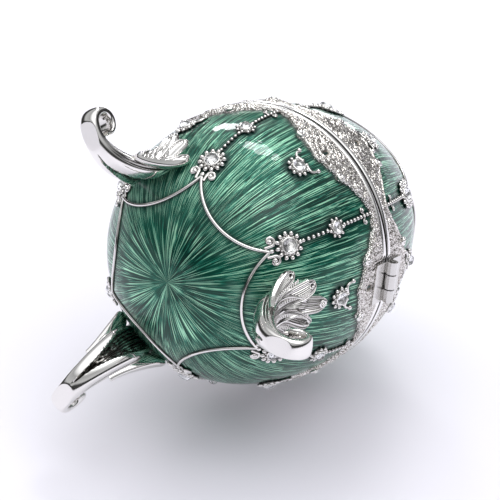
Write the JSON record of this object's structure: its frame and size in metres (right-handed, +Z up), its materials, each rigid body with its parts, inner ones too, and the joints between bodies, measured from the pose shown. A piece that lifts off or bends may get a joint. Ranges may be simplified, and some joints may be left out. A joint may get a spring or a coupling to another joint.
{
  "type": "jewelled egg trinket box",
  "caption": "Hollow enamelled metal egg on scroll legs, with silver relief, set crystals and a lid hinged at the back.",
  "frame": {"origin": "centre of the bounding box at the ground under the three feet; the egg's own axis stands a few millimetres forward of it, at negative Y", "axes": "+Z up along the egg's axis, +Y towards the hinge and the back leg, +X to the right seen from the front"},
  "size_m": [0.0746, 0.0755, 0.096],
  "materials": {
    "enamelled_casting": "deep green translucent enamel over engraved metal, with bright silver relief",
    "silver_casting": "bright polished silver plating",
    "crystal": "clear cut crystal"
  },
  "bodies": {
    "bowl": {"bowl": "enamelled_casting", "leg_back": "silver_casting", "leg_left": "silver_casting", "leg_right": "silver_casting", "hinge_leaf_bowl": "silver_casting", "hinge_pin": "silver_casting", "bowl_crystal_large_1": "crystal", "bowl_crystal_large_2": "crystal", "bowl_crystal_large_3": "crystal", "bowl_crystal_large_4": "crystal", "bowl_crystal_large_5": "crystal", "bowl_crystal_large_6": "crystal", "bowl_crystal_pendant_1": "crystal", "bowl_crystal_pendant_2": "crystal", "bowl_crystal_pendant_3": "crystal", "bowl_crystal_pendant_4": "crystal", "bowl_crystal_pendant_5": "crystal", "bowl_crystal_pendant_6": "crystal", "bowl_crystal_small_1": "crystal", "bowl_crystal_small_2": "crystal", "bowl_crystal_small_3": "crystal", "bowl_crystal_small_4": "crystal", "bowl_crystal_small_5": "crystal", "bowl_crystal_small_6": "crystal"},
    "lid": {"lid": "enamelled_casting", "hinge_leaf_lid": "silver_casting", "lid_crystal_large_1": "crystal", "lid_crystal_large_2": "crystal", "lid_crystal_large_3": "crystal", "lid_crystal_large_4": "crystal", "lid_crystal_large_5": "crystal", "lid_crystal_large_6": "crystal", "lid_crystal_pendant_1": "crystal", "lid_crystal_pendant_2": "crystal", "lid_crystal_pendant_3": "crystal", "lid_crystal_pendant_4": "crystal", "lid_crystal_pendant_5": "crystal", "lid_crystal_pendant_6": "crystal"}
  },
  "joints": [
    {"name": "lid_hinge", "type": "hinge", "parent": "bowl", "child": "lid", "pos_m": [0, 0.02915, 0.0518], "axis": [-1, 0, 0], "range_deg": [0, 95]}
  ]
}
